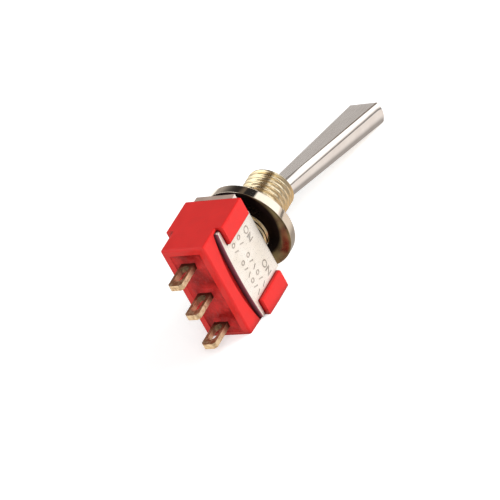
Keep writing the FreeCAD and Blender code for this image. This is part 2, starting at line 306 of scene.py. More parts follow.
def nut_underside_painted_shade():
    """Painted shade round the bore, near black, clearing to brown and olive towards the rim."""
    finish = Finish("nut_underside_painted_shade", metallic=1.0)
    # Centre of the painted shade, set off from the bore's axis.
    centre = (-1.1 * MM, 0, -1.8 * MM)
    away = finish.node("ShaderNodeVectorMath", {0: finish.place.outputs["Object"]},
                       {1: centre}, operation="DISTANCE").outputs["Value"]
    patch = finish.noise(1.8)
    clear = finish.ramp(patch, ((0.35, srgb(108, 84, 68)), (0.65, srgb(150, 136, 100))))
    edge = finish.band(away, 5.1 * MM, 5.5 * MM, 0, 1)
    finish.feed("Base Color", finish.blend(edge, srgb(30, 20, 20), clear))
    finish.gloss(patch, 0.24, 0.36)
    finish.relief(finish.noise(0.1, detail=2), 0.002, 0.5)
    return finish.material


def blade_plating(colours):
    """Tarnished brown on the wide faces, darker towards the roots, bright on the cut edges and
    the tips, with painted shade where other surfaces stand close.
    """
    finish = Finish("blade_plating", metallic=0.85)
    brown, gold = opaque(colours.blade_brown), opaque(colours.blade_gold)
    sideways = maths(finish.tree, "ABSOLUTE", finish.coordinate("X", "Normal"))
    wide = finish.band(sideways, 0.6, 0.95, 0, 1)
    patch = finish.noise(0.7, detail=5, roughness=0.65)
    tarnish = finish.ramp(patch, ((0.42, brown), (0.84, gold)))
    spots = finish.noise(0.45, detail=4)
    edge = finish.blend(finish.band(spots, 0.46, 0.72, 0, 0.7), gold, brown)
    ground = finish.blend(wide, edge, tarnish)
    root = finish.band(finish.coordinate("Z"), drop(-2.2) * MM, drop(-0.4) * MM, 0, 1)
    ground = finish.blend(root, ground, srgb(74, 46, 30))
    # Painted shade, dark brown, where other surfaces stand close to the blades.
    finish.feed("Base Color", finish.painted_crevice_shade(ground, srgb(84, 40, 22), 0.9, 0.85))
    finish.gloss(patch, 0.5, 0.3)
    finish.relief(finish.noise(0.12, detail=2), 0.008, 0.6)
    return finish.material


def natural_nylon():
    """Cloudy, undyed nylon."""
    finish = Finish("natural_nylon", roughness=0.45)
    cloud = finish.ramp(finish.noise(0.6), ((0.3, srgb(226, 220, 204)),
                                            (0.7, srgb(244, 240, 228))))
    finish.feed("Base Color", cloud)
    finish.relief(finish.noise(0.1), 0.006, 0.5)
    return finish.material


def floor_paper(shade, lift):
    """Pale paper: keeps shadows, is brightened where it is seen, and is clear from below."""
    finish = Finish("floor_paper", roughness=0.9)
    finish.shader.inputs["Base Color"].default_value = (shade, shade, shade, 1.0)
    finish.shader.inputs["Emission Color"].default_value = (1, 1, 1, 1)
    finish.feed("Emission Strength",
                maths(finish.tree, "MULTIPLY", plain_sight(finish.tree), lift))
    back = finish.node("ShaderNodeNewGeometry").outputs["Backfacing"]
    clear = finish.node("ShaderNodeBsdfTransparent")
    mix = finish.node("ShaderNodeMixShader", {0: back, 1: finish.shader.outputs[0],
                                              2: clear.outputs[0]})
    output = finish.tree.nodes["Material Output"]
    finish.tree.links.new(mix.outputs[0], output.inputs["Surface"])
    return finish.material


class Tent:
    """Colour of the reflection tent, built up panel by panel over one ground tone."""

    def __init__(self, ground):
        self.finish = Finish("tent_paper")
        tree = self.finish.tree
        way = add(tree, "ShaderNodeVectorMath", {0: self.finish.place.outputs["Object"]},
                  operation="NORMALIZE").outputs["Vector"]
        parts = add(tree, "ShaderNodeSeparateXYZ", {"Vector": way}).outputs
        self.height = parts["Z"]
        level = add(tree, "ShaderNodeCombineXYZ", {"X": parts["X"], "Y": parts["Y"]})
        self.level = add(tree, "ShaderNodeVectorMath", {0: level.outputs[0]},
                         operation="NORMALIZE").outputs["Vector"]
        self.colour = opaque(ground)

    def panel(self, bearing, inner, outer, low, high, colour, soft=0.06):
        """A panel round a bearing, between two heights of the unit sphere.

        It is full up to inner degrees either side of the bearing, and gone at outer.
        """
        tree = self.finish.tree
        angle = math.radians(bearing)
        centre = (math.cos(angle), math.sin(angle), 0)
        facing = add(tree, "ShaderNodeVectorMath", {0: self.level}, {1: centre},
                     operation="DOT_PRODUCT").outputs["Value"]
        around = map_range(tree, facing, math.cos(math.radians(outer)),
                           math.cos(math.radians(inner)), 0, 1, smooth=True)
        above = map_range(tree, self.height, low - soft, low + soft, 0, 1)
        below = map_range(tree, self.height, high - soft, high + soft, 1, 0)
        share = maths(tree, "MULTIPLY", maths(tree, "MULTIPLY", above, below), around)
        self.colour = self.finish.blend(share, self.colour, opaque(colour))

    def close(self, strength):
        """The finished material, which only glows."""
        tree = self.finish.tree
        glow = add(tree, "ShaderNodeEmission", {"Color": self.colour},
                   {"Strength": strength})
        tree.links.new(glow.outputs[0], tree.nodes["Material Output"].inputs["Surface"])
        return self.finish.material


def new_object(name, data):
    """Object in the scene, at the origin."""
    holder = bpy.data.objects.new(name, data)
    bpy.context.scene.collection.objects.link(holder)
    return holder


def plain_object(name, bm):
    """Mesh object made of a bmesh, which is used up."""
    mesh = bpy.data.meshes.new(name)
    bm.to_mesh(mesh)
    bm.free()
    return new_object(name, mesh)


def lathe(profile, segments, closed=True):
    """Mesh turned about Z from (radius, height) pairs in millimetres."""
    bm = bmesh.new()
    rings = []
    for radius, height in profile:
        count = segments if radius > 0 else 1
        rings.append([bm.verts.new((radius * math.cos(TURN * k / segments),
                                    radius * math.sin(TURN * k / segments), height))
                      for k in range(count)])
    pairs = list(zip(rings, rings[1:]))
    if closed:
        pairs.append((rings[-1], rings[0]))
    for low, high in pairs:
        for k in range(segments):
            n = (k + 1) % segments
            corners = dict.fromkeys((low[k % len(low)], low[n % len(low)],
                                     high[n % len(high)], high[k % len(high)]))
            if len(corners) > 2:
                bm.faces.new(list(corners))
    bmesh.ops.recalc_face_normals(bm, faces=bm.faces)
    return bm


def drill(radius, low, high):
    """Round cutter about Z between two heights in millimetres."""
    profile = [(0, low), (radius, low), (radius, high), (0, high)]
    return lathe(profile, segments=32, closed=False)


def rounded(points, radius, steps=4):
    """Outline whose sharp corners are replaced by short arcs, in millimetres."""
    out = []
    for i, point in enumerate(points):
        here = Vector(point)
        before = Vector(points[i - 1]) - here
        after = Vector(points[(i + 1) % len(points)]) - here
        reach = min(radius, before.length / 3, after.length / 3)
        start = here + before.normalized() * reach
        end = here + after.normalized() * reach
        for k in range(steps + 1):
            t = k / steps
            out.append(tuple(start * (1 - t) ** 2 + here * 2 * t * (1 - t) + end * t ** 2))
    return out


def cad_copy(node):
    """Bmesh of a CAD node in millimetres, its points merged and flat faces rejoined."""
    merge, flat = 0.001, math.radians(0.5)
    bm = bmesh.new()
    bm.from_mesh(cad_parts[node].data)
    bmesh.ops.scale(bm, vec=(METRE, METRE, METRE), verts=bm.verts)
    bmesh.ops.remove_doubles(bm, verts=bm.verts, dist=merge)
    bmesh.ops.dissolve_limit(bm, angle_limit=flat, verts=bm.verts, edges=bm.edges)
    return bm


def soften(bm, width, segments=2):
    """Rounds the sharp edges of a bmesh by a small width in millimetres."""
    sharp = math.radians(35)
    edges = [e for e in bm.edges if len(e.link_faces) == 2 and e.calc_face_angle(0) > sharp]
    bmesh.ops.bevel(bm, geom=edges, offset=width, segments=segments, profile=0.5,
                    affect="EDGES", clamp_overlap=True)


def apply_modifiers(piece):
    """Gives an object its evaluated shape as a plain mesh, and drops its modifiers."""
    graph = bpy.context.evaluated_depsgraph_get()
    graph.update()
    mesh = bpy.data.meshes.new_from_object(piece.evaluated_get(graph))
    piece.modifiers.clear()
    old = piece.data
    piece.data = mesh
    bpy.data.meshes.remove(old)


def cut(piece, cutter):
    """Takes the cutter's shape out of a piece; the cutter is used up."""
    tool = piece.modifiers.new("cut", "BOOLEAN")
    tool.object = cutter
    tool.operation = "DIFFERENCE"
    tool.solver = "EXACT"
    apply_modifiers(piece)
    mesh = cutter.data
    bpy.data.objects.remove(cutter)
    bpy.data.meshes.remove(mesh)


def seat(piece, materials, body, nodes, sharp=30.0, weighted=True):
    """Brings a piece to metres, gives it its materials, finishes its shading, hides the CAD
    nodes it stands in for and ties it to its body.
    """
    mesh = piece.data
    mesh.transform(Matrix.Diagonal((MM, MM, MM, 1)))
    mesh.materials.clear()
    for material in materials:
        mesh.materials.append(material)
    mesh.shade_smooth()
    mesh.set_sharp_from_angle(angle=math.radians(sharp))
    if weighted:
        tool = piece.modifiers.new("even_faces", "WEIGHTED_NORMAL")
        tool.keep_sharp = True
    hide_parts(*nodes)
    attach(piece, body)


def paint(piece, index, wanted):
    """Gives another material to faces of a seated piece.

    The test is given each face's centre, in millimetres, and its normal.
    """
    for face in piece.data.polygons:
        if wanted(face.center * METRE, face.normal):
            face.material_index = index


def node_tree(name, sockets):
    """Empty geometry tree with named number inputs, ready for nodes."""
    tree = bpy.data.node_groups.new(name, "GeometryNodeTree")
    tree.interface.new_socket("Geometry", in_out="INPUT", socket_type="NodeSocketGeometry")
    for label, default in sockets:
        item = tree.interface.new_socket(label, in_out="INPUT", socket_type="NodeSocketFloat")
        item.default_value = default
    tree.interface.new_socket("Material", in_out="INPUT", socket_type="NodeSocketMaterial")
    tree.interface.new_socket("Geometry", in_out="OUTPUT", socket_type="NodeSocketGeometry")
    return tree, add(tree, "NodeGroupInput").outputs


def close_tree(tree, geometry, given):
    """Ends a tree in Realize Instances and Set Material."""
    real = add(tree, "GeometryNodeRealizeInstances", {"Geometry": geometry})
    painted = add(tree, "GeometryNodeSetMaterial",
                  {"Geometry": real.outputs[0], "Material": given["Material"]})
    add(tree, "NodeGroupOutput", {0: painted.outputs[0]})


def run_tree(piece, tree, values, material):
    """Applies a geometry tree with its inputs set by identifier, leaving a plain mesh."""
    tool = piece.modifiers.new("tree", "NODES")
    tool.node_group = tree
    values = {**values, "Material": material}
    for item in tree.interface.items_tree:
        if item.item_type == "SOCKET" and item.in_out == "INPUT" and item.name in values:
            tool[item.identifier] = values[item.name]
    piece.update_tag()
    apply_modifiers(piece)


def thread_tree():
    """Tree that presses a helical thread into the plain wall of a turned piece."""
    tree, given = node_tree("thread_rule", (
        ("Wall Radius", 3.175), ("Pitch", 0.794), ("Depth", 0.4), ("Start", -2.4),
        ("End", 6.4), ("Run-out", 0.4)))
    position = add(tree, "GeometryNodeInputPosition").outputs[0]
    parts = add(tree, "ShaderNodeSeparateXYZ", {0: position}).outputs
    flat = add(tree, "ShaderNodeCombineXYZ", {"X": parts["X"], "Y": parts["Y"]}).outputs[0]
    radius = add(tree, "ShaderNodeVectorMath", {0: flat}, operation="LENGTH").outputs["Value"]
    angle = maths(tree, "ARCTAN2", parts["Y"], parts["X"])
    turns = maths(tree, "DIVIDE", angle, TURN)
    climb = maths(tree, "DIVIDE", parts["Z"], given["Pitch"])
    phase = maths(tree, "FRACT", maths(tree, "SUBTRACT", climb, turns))
    ridge = apart(tree, maths(tree, "MULTIPLY", phase, 2), 1)
    crest, root, tolerance = 0.1, 0.9, 0.01
    groove = map_range(tree, ridge, crest, root, 0.0, 1.0, smooth=True)
    full_from = maths(tree, "ADD", given["Start"], given["Run-out"])
    full_to = maths(tree, "SUBTRACT", given["End"], given["Run-out"])
    fade_in = map_range(tree, parts["Z"], given["Start"], full_from, 0.0, 1.0)
    fade_out = map_range(tree, parts["Z"], full_to, given["End"], 1.0, 0.0)
    depth = maths(tree, "MULTIPLY", groove, given["Depth"])
    depth = maths(tree, "MULTIPLY", maths(tree, "MULTIPLY", depth, fade_in), fade_out)
    share = maths(tree, "DIVIDE", maths(tree, "SUBTRACT", radius, depth), radius)
    stretch = add(tree, "ShaderNodeCombineXYZ", {"X": share, "Y": share}, {"Z": 1.0}).outputs[0]
    moved = add(tree, "ShaderNodeVectorMath", {0: position, 1: stretch},
                operation="MULTIPLY").outputs[0]
    on_wall = maths(tree, "LESS_THAN", apart(tree, radius, given["Wall Radius"]), tolerance)
    pressed = add(tree, "GeometryNodeSetPosition",
                  {"Geometry": given["Geometry"], "Selection": on_wall, "Position": moved})
    close_tree(tree, pressed.outputs[0], given)
    return tree


def coil_tree():
    """Tree that winds a round wire into a coil."""
    tree, given = node_tree("coil_rule", (
        ("Turns", 5.0), ("Coil Radius", 0.58), ("Wire Radius", 0.1), ("Rise", 1.36)))
    line = add(tree, "GeometryNodeCurveSpiral",
               {"Rotations": given["Turns"], "Start Radius": given["Coil Radius"],
                "End Radius": given["Coil Radius"], "Height": given["Rise"]},
               {"Resolution": 24})
    wire = add(tree, "GeometryNodeCurvePrimitiveCircle", {"Radius": given["Wire Radius"]},
               {"Resolution": 10})
    coil = add(tree, "GeometryNodeCurveToMesh",
               {"Curve": line.outputs[0], "Profile Curve": wire.outputs[0]},
               {"Fill Caps": True})
    close_tree(tree, coil.outputs[0], given)
    return tree


def mark_tree():
    """Tree that sets a row of rings and leaning bars in turn, with one place left free."""
    tree, given = node_tree("mark_rule", (
        ("Count", 9.0), ("Spacing", 0.9), ("Free Place", 2.0), ("Stroke", 0.16),
        ("Mark Width", 0.5), ("Mark Height", 0.8), ("Stroke Depth", 0.2), ("Lean", 0.35)))
    offset = add(tree, "ShaderNodeCombineXYZ", {"X": given["Spacing"]}).outputs[0]
    line = add(tree, "GeometryNodeMeshLine", {"Count": given["Count"], "Offset": offset})
    index = add(tree, "GeometryNodeInputIndex").outputs[0]
    half_place, kinds = 0.5, 3.0
    kept = maths(tree, "GREATER_THAN", apart(tree, index, given["Free Place"]), half_place)
    turn = maths(tree, "MODULO", index, kinds)
    profile = add(tree, "GeometryNodeCurvePrimitiveQuadrilateral",
                  {"Width": given["Stroke"], "Height": given["Stroke Depth"]})
    inner = maths(tree, "SUBTRACT", given["Mark Width"], given["Stroke"])
    circle = add(tree, "GeometryNodeCurvePrimitiveCircle",
                 {"Radius": maths(tree, "MULTIPLY", inner, 0.5)}, {"Resolution": 20})
    ring = add(tree, "GeometryNodeCurveToMesh",
               {"Curve": circle.outputs[0], "Profile Curve": profile.outputs[0]})
    tall = maths(tree, "DIVIDE", given["Mark Height"], given["Mark Width"])
    oval = add(tree, "ShaderNodeCombineXYZ", {"Y": tall}, {"X": 1.0, "Z": 1.0}).outputs[0]
    ring = add(tree, "GeometryNodeTransform", {"Geometry": ring.outputs[0], "Scale": oval},
               {"Rotation": (math.pi / 2, 0, 0)})
    size = add(tree, "ShaderNodeCombineXYZ",
               {"X": given["Stroke"], "Y": given["Stroke Depth"],
                "Z": given["Mark Height"]}).outputs[0]
    bar = add(tree, "GeometryNodeMeshCube", {"Size": size})
    joined = add(tree, "GeometryNodeJoinGeometry")
    for place, shape, side in ((0.0, ring, 0.0), (1.0, bar, 1.0), (2.0, bar, -1.0)):
        due = maths(tree, "LESS_THAN", apart(tree, turn, place), half_place)
        wanted = maths(tree, "MULTIPLY", kept, due)
        lean = maths(tree, "MULTIPLY", given["Lean"], side)
        tilt = add(tree, "ShaderNodeCombineXYZ", {"Y": lean}).outputs[0]
        row = add(tree, "GeometryNodeInstanceOnPoints",
                  {"Points": line.outputs[0], "Selection": wanted,
                   "Instance": shape.outputs[0], "Rotation": tilt})
        tree.links.new(row.outputs[0], joined.inputs[0])
    close_tree(tree, joined.outputs[0], given)
    return tree


class SwitchSizes(bpy.types.PropertyGroup):
    """Sizes of the fine shapes that the CAD frame leaves out."""
    edge_round: bpy.props.FloatProperty(
        name="Edge Rounding", description="Width of the softened edges of the case",
        default=0.14 * MM, unit="LENGTH", precision=5)
    sheet_round: bpy.props.FloatProperty(
        name="Sheet Edge", description="Width of the softened edges of the bent frame",
        default=0.07 * MM, unit="LENGTH", precision=5)
    blade_round: bpy.props.FloatProperty(
        name="Blade Edge", description="Width of the softened edges of the solder blades",
        default=0.1 * MM, unit="LENGTH", precision=5)
    thread_pitch: bpy.props.FloatProperty(
        name="Thread Pitch", description="Rise of the thread in one turn",
        default=0.79375 * MM, unit="LENGTH", precision=6)
    thread_depth: bpy.props.FloatProperty(
        name="Thread Depth", description="Depth of the thread's groove",
        default=0.36 * MM, unit="LENGTH", precision=6)
    mark_depth: bpy.props.FloatProperty(
        name="Mark Depth", description="Depth of the stamped marks on the frame's leg",
        default=0.06 * MM, unit="LENGTH", precision=6)
    letter_height: bpy.props.FloatProperty(
        name="Letter Height", description="Height of the stamped letters",
        default=1.0 * MM, unit="LENGTH", precision=5)
    resin_waves: bpy.props.FloatProperty(
        name="Resin Waves", description="Unevenness of the poured resin",
        default=0.12 * MM, unit="LENGTH", precision=6)


class SwitchColours(bpy.types.PropertyGroup):
    """Main colours of the switch."""
    case_red: bpy.props.FloatVectorProperty(
        name="Case Red", description="Colour of the moulded case", subtype="COLOR",
        size=3, min=0, max=1, default=srgb(220, 35, 32)[:3])
    resin_red: bpy.props.FloatVectorProperty(
        name="Resin Red", description="Darkest colour of the poured resin", subtype="COLOR",
        size=3, min=0, max=1, default=srgb(146, 16, 16)[:3])
    frame_silver: bpy.props.FloatVectorProperty(
        name="Frame Silver", description="Plating of the bent frame", subtype="COLOR",
        size=3, min=0, max=1, default=srgb(252, 246, 238)[:3])
    bushing_gold: bpy.props.FloatVectorProperty(
        name="Bushing Gold", description="Plating of the threaded bushing", subtype="COLOR",
        size=3, min=0, max=1, default=srgb(240, 226, 196)[:3])
    nut_plating: bpy.props.FloatVectorProperty(
        name="Nut Plating", description="Plating of the round nut", subtype="COLOR",
        size=3, min=0, max=1, default=srgb(240, 228, 214)[:3])
    lever_silver: bpy.props.FloatVectorProperty(
        name="Lever Silver", description="Plating of the lever", subtype="COLOR",
        size=3, min=0, max=1, default=srgb(246, 241, 237)[:3])
    blade_brown: bpy.props.FloatVectorProperty(
        name="Blade Brown", description="Tarnish on the solder blades", subtype="COLOR",
        size=3, min=0, max=1, default=srgb(146, 94, 62)[:3])
    blade_gold: bpy.props.FloatVectorProperty(
        name="Blade Gold", description="Bright edges of the solder blades", subtype="COLOR",
        size=3, min=0, max=1, default=srgb(240, 214, 176)[:3])


class SWITCH_OT_case(bpy.types.Operator):
    """Moulded case with softened edges."""
    bl_idname = "switch.case"
    bl_label = "Case"

    def execute(self, context):
        bm = cad_copy("case")
        soften(bm, context.scene.switch_sizes.edge_round * METRE, segments=3)
        seat(plain_object("case_shell", bm), [moulded_red(context.scene.switch_colours)],
             "housing", ["case"])
        return {"FINISHED"}


def seal_underside(x, y, half_long, half_wide, waves):
    """Height of the resin's uneven lower face, drawn down along the blades and the rim."""
    level = drop(0.12)
    blade_climb, blade_reach = 0.28, 0.55
    rim_climb, rim_reach = 0.1, 0.35
    wave_scale, wave_layer, wave_share = 1.1, 3.7, 0.6
    grain_scale, grain_layer, grain_share = 5.0, 9.1, 0.16
    fineness, lacunarity, octaves = 0.6, 2.1, 4
    wave = noise.fractal(Vector((x * wave_scale, y * wave_scale, wave_layer)),
                         fineness, lacunarity, octaves)
    grain = noise.noise(Vector((x * grain_scale, y * grain_scale, grain_layer)))
    height = level + waves * (wave_share * wave + grain_share * grain)
    blade = min(math.hypot(max(abs(x - place * TERMINAL_PITCH) - BLADE_HALF_X, 0),
                           max(abs(y) - BLADE_HALF_Y, 0)) for place in (-1, 0, 1))
    height -= blade_climb * max(0.0, 1 - blade / blade_reach) ** 2
    rim = min(half_long - abs(x), half_wide - abs(y))
    return height - rim_climb * max(0.0, 1 - rim / rim_reach) ** 2


def close_slab(bm, grid, lid):
    """Faces two like grids of points and closes the wall between their borders."""
    along, across = len(grid) - 1, len(grid[0]) - 1
    for rows in (grid, lid):
        for i in range(along):
            for j in range(across):
                bm.faces.new((rows[i][j], rows[i + 1][j], rows[i + 1][j + 1],
                              rows[i][j + 1]))
    ring = [(i, 0) for i in range(along)] + [(along, j) for j in range(across)]
    ring += [(i, across) for i in range(along, 0, -1)]
    ring += [(0, j) for j in range(across, 0, -1)]
    for (i, j), (m, n) in zip(ring, ring[1:] + ring[:1]):
        bm.faces.new((grid[i][j], grid[m][n], lid[m][n], lid[i][j]))
    bmesh.ops.recalc_face_normals(bm, faces=bm.faces)


class SWITCH_OT_seal(bpy.types.Operator):
    """Uneven resin poured around the terminals."""
    bl_idname = "switch.seal"
    bl_label = "Resin Seal"

    def execute(self, context):
        waves = context.scene.switch_sizes.resin_waves * METRE
        half_long, half_wide, top, step = 6.19, 2.19, drop(0.75), 0.09
        along, across = round(2 * half_long / step), round(2 * half_wide / step)
        bm = bmesh.new()
        grid = []
        for i in range(along + 1):
            x = half_long * (2 * i / along - 1)
            sides = [half_wide * (2 * j / across - 1) for j in range(across + 1)]
            grid.append([bm.verts.new((x, y, seal_underside(x, y, half_long, half_wide, waves)))
                         for y in sides])
        lid = [[bm.verts.new((v.co.x, v.co.y, top)) for v in row] for row in grid]
        close_slab(bm, grid, lid)
        seat(plain_object("poured_seal", bm), [poured_resin(context.scene.switch_colours)],
             "housing", ["terminal_seal"], sharp=50.0, weighted=False)
        return {"FINISHED"}


def stamped_word(word, left, base, height, depth):
    """Cutter in the shape of a word, standing in the frame's leg face."""
    capital_share, boldness, merge = 0.7, 0.02, 0.0005
    curve = bpy.data.curves.new("word", "FONT")
    curve.body = word
    curve.size = height / capital_share
    curve.extrude = depth
    curve.offset = boldness
    curve.resolution_u = 4
    holder = new_object("word", curve)
    graph = bpy.context.evaluated_depsgraph_get()
    mesh = bpy.data.meshes.new_from_object(holder.evaluated_get(graph))
    bpy.data.objects.remove(holder)
    bpy.data.curves.remove(curve)
    mesh.transform(Matrix.Translation((left, -LEG_FACE, drop(base)))
                   @ Matrix.Rotation(math.pi / 2, 4, "X"))
    bm = bmesh.new()
    bm.from_mesh(mesh)
    bpy.data.meshes.remove(mesh)
    bmesh.ops.remove_doubles(bm, verts=bm.verts, dist=merge)
    bmesh.ops.recalc_face_normals(bm, faces=bm.faces)
    return plain_object("word_cutter", bm)


def stamp_leg(piece, height, depth):
    """Presses two words, and two rows of plain marks below them, into the frame's leg."""
    word_base, word_lefts = 7.35, (-3.8, 1.65)
    row_left, row_bases = -3.6, (5.45, 3.95)
    for left in word_lefts:
        cut(piece, stamped_word("ON", left, word_base, height, depth))
    tree = mark_tree()
    for base in row_bases:
        marks = plain_object("row_cutter", bmesh.new())
        run_tree(marks, tree, {"Count": 9.0, "Spacing": 0.93, "Free Place": 2.0,
                               "Stroke": 0.18, "Mark Width": 0.66, "Lean": 0.38,
                               "Mark Height": 0.82 * height, "Stroke Depth": 2 * depth},
                 None)
        marks.data.transform(Matrix.Translation((row_left, -LEG_FACE,
                                                 drop(base) + height / 2)))
        cut(piece, marks)


class SWITCH_OT_frame(bpy.types.Operator):
    """Bent sheet frame with its stamped words and plain stamped rows."""
    bl_idname = "switch.frame"
    bl_label = "Bent Frame"

    def execute(self, context):
        sizes = context.scene.switch_sizes
        colours = context.scene.switch_colours
        depth = sizes.mark_depth * METRE
        bm = cad_copy("saddle_frame")
        soften(bm, sizes.sheet_round * METRE)
        piece = plain_object("bent_frame", bm)
        stamp_leg(piece, sizes.letter_height * METRE, depth)
        # The plating takes painted shade, dark purple, where other surfaces stand close.
        plating = plated_metal("frame_plating", opaque(colours.frame_silver),
                               srgb(240, 232, 220), roughness=0.34, grain_mm=0.09,
                               depth_mm=0.006, metallic=0.6, painted_crevice_shade=srgb(84, 46, 56))
        mark_painted_shade = plated_metal("frame_marks_painted_shade", srgb(216, 208, 198), srgb(190, 180, 170),
                              roughness=0.45, grain_mm=0.09, depth_mm=0.006, metallic=0.6)
        dull = plated_metal("frame_plate_end", srgb(214, 190, 176), srgb(184, 158, 144),
                            roughness=0.4, grain_mm=0.2, depth_mm=0.006, metallic=0.5)
        seat(piece, [plating, mark_painted_shade, cut_edge_painted_shade(), dull], "housing", ["saddle_frame"])
        # A mark's floor lies one depth below the leg's face, and its walls' centres half that.
        first, last = 0.4 * depth - LEG_FACE, 1.5 * depth - LEG_FACE
        marks_low, marks_high = drop(3.8), drop(8.6)
        # The marks' floors and walls take a darker plating: painted shade in the stamped
        # hollows.
        paint(piece, 1, lambda centre, normal: first < centre.y < last
              and marks_low < centre.z < marks_high and abs(centre.x) < LEG_HALF_WIDTH)
        # The sheet's lower cut edges take painted shade and painted reflection.
        paint(piece, 2, lambda centre, normal: normal.z < -0.5 and centre.z < drop(3.4))
        paint(piece, 3, lambda centre, normal: abs(normal.x) > 0.9
              and centre.z > drop(PLATE_TOP - SHEET))
        return {"FINISHED"}


class SWITCH_OT_bushing(bpy.types.Operator):
    """Threaded bushing, its thread pressed by a rule."""
    bl_idname = "switch.bushing"
    bl_label = "Threaded Bushing"

    def execute(self, context):
        sizes = context.scene.switch_sizes
        wall, chamfer = 3.175, 0.2
        start, end = drop(10.95), drop(BUSHING_TOP - chamfer)
        profile = self.outside(wall, chamfer, start, end) + self.inside()
        piece = plain_object("threaded_bushing", lathe(profile, segments=128))
        cut(piece, self.keyway())
        plating = plated_metal("bushing_plating",
                               opaque(context.scene.switch_colours.bushing_gold),
                               srgb(228, 208, 170), roughness=0.16, grain_mm=0.12,
                               depth_mm=0.003)
        run_tree(piece, thread_tree(), {
            "Wall Radius": wall, "Pitch": sizes.thread_pitch * METRE,
            "Depth": sizes.thread_depth * METRE, "Start": start, "End": end,
            "Run-out": 0.35}, plating)
        seat(piece, [plating], "housing", ["bushing"], weighted=False)
        return {"FINISHED"}

    def outside(self, wall, chamfer, start, end):
        """Profile from the tenon in the frame up to the top, with close rows for the thread."""
        tenon, neck, neck_top, ease, row = 2.73, 3.0, drop(10.8), 0.05, 0.06
        rows = round((end - start) / row)
        profile = [(tenon, drop(CASE_HEIGHT)), (tenon, drop(PLATE_TOP)),
                   (neck, drop(PLATE_TOP)), (neck, neck_top), (wall - ease, start - ease)]
        profile += [(wall, start + (end - start) * k / rows) for k in range(rows + 1)]
        return profile + [(wall - chamfer, drop(BUSHING_TOP))]

    def inside(self):
        """Profile from the top down: funnel, round seat of the lever's ball, well and skirt."""
        mouth, ball_seat, throat_rise, well, skirt = 2.68, 2.1, 1.05, 2.35, 2.55
        seat_low, well_top, well_low = drop(13.5), drop(13.2), drop(11.6)
        throat, steps = math.asin(throat_rise / ball_seat), 10
        # The last ring stays a hair below the keyway's top, so that the cut is clean.
        below_key = 4.4721e-5
        profile = [(mouth, drop(BUSHING_TOP))]
        for k in range(steps + 1):
            angle = throat - (throat + below_key) * k / steps
            profile.append((ball_seat * math.cos(angle),
                            drop(PIVOT_HEIGHT) + ball_seat * math.sin(angle)))
        return profile + [(ball_seat, seat_low), (well, well_top), (well, well_low),
                          (skirt, drop(CASE_HEIGHT))]

    def keyway(self):
        """Cutter of the slot in which the guide pin swings."""
        half, reach, low = 0.45, 2.37, 9.0
        bm = bmesh.new()
        bmesh.ops.create_cube(bm, size=1.0)
        bmesh.ops.scale(bm, vec=(2 * half, 2 * reach, PIVOT_HEIGHT - low), verts=bm.verts)
        bmesh.ops.translate(bm, vec=(0, 0, drop((PIVOT_HEIGHT + low) / 2)), verts=bm.verts)
        return plain_object("key_cutter", bm)


class SWITCH_OT_nut(bpy.types.Operator):
    """Round nut, turned smooth, with two blind spanner holes."""
    bl_idname = "switch.nut"
    bl_label = "Round Nut"

    def execute(self, context):
        bore, face, rim, rim_inset = 3.2, 5.0, 6.1, 0.16
        low, top, lead, edge = drop(NUT_BOTTOM), 0.0, 0.12, 0.15
        bevel, shoulder = low + 0.22, low + 0.36
        outline = [(bore, low + lead), (bore + lead, low), (face, low),
                   (rim - rim_inset, bevel), (rim, shoulder), (rim, top - edge),
                   (rim - edge, top), (bore + lead, top), (bore, top - lead)]
        profile = rounded(outline, radius=0.07)
        piece = plain_object("round_nut", lathe(profile, segments=160))
        hole_radius, hole_depth, hole_place, overshoot = 0.6, 0.8, 4.6, 0.5
        for side in (-1, 1):
            hole = drill(hole_radius, top - hole_depth, top + overshoot)
            bmesh.ops.translate(hole, vec=(side * hole_place, 0, 0), verts=hole.verts)
            cut(piece, plain_object("hole_cutter", hole))
        plating = plated_metal("nut_plating", opaque(context.scene.switch_colours.nut_plating),
                               srgb(230, 216, 198), roughness=0.09, grain_mm=0.2,
                               depth_mm=0.001, spread=0.03)
        seat(piece, [plating, nut_underside_painted_shade()], "nut", ["mounting_nut"],
             sharp=40.0, weighted=False)
        # The underside takes the painted shade round the bore.
        paint(piece, 1, lambda centre, normal: normal.z < -0.4)
        return {"FINISHED"}


def lever_section(t):
    """Radius and half width across the flats, this far from the pivot, in millimetres."""
    root, tip, root_half, tip_half, ball_end = 1.335, 2.6, 1.212, 1.47, 1.5
    share = t / LEVER_LENGTH
    radius = LEVER_STEM if t < 0 else root + (tip - root) * share
    if t < ball_end:
        radius = max(radius, math.sqrt(max(LEVER_BALL ** 2 - t ** 2, 0)))
    return radius, root_half + (tip_half - root_half) * share


def lever_rows():
    """Each ring's distance from the pivot, radius, and half width or None, in millimetres."""
    stem_end, stem_rows, neck = -4.2, [-4.1, -3.0], 1.19
    ball_low, ball_step, ball_rows = -1.66, 0.19, 15
    round_part = stem_rows + [ball_low + ball_step * k for k in range(ball_rows)] + [neck]
    rows = [(stem_end, LEVER_STEM, None)]
    rows += [(t, lever_section(t)[0], None) for t in round_part]
    tip_start, flat_steps, tip_steps = LEVER_LENGTH - TIP_ROUND, 40, 9
    for k in range(flat_steps + 1):
        t = FLAT_START + (tip_start - FLAT_START) * k / flat_steps
        rows.append((t, *lever_section(t)))
    radius, half = lever_section(LEVER_LENGTH)
    for k in range(1, tip_steps + 1):
        turn = math.pi / 2 * k / tip_steps
        inset = TIP_ROUND * (1 - math.cos(turn))
        rows.append((tip_start + TIP_ROUND * math.sin(turn), radius - inset, half - inset))
    return rows


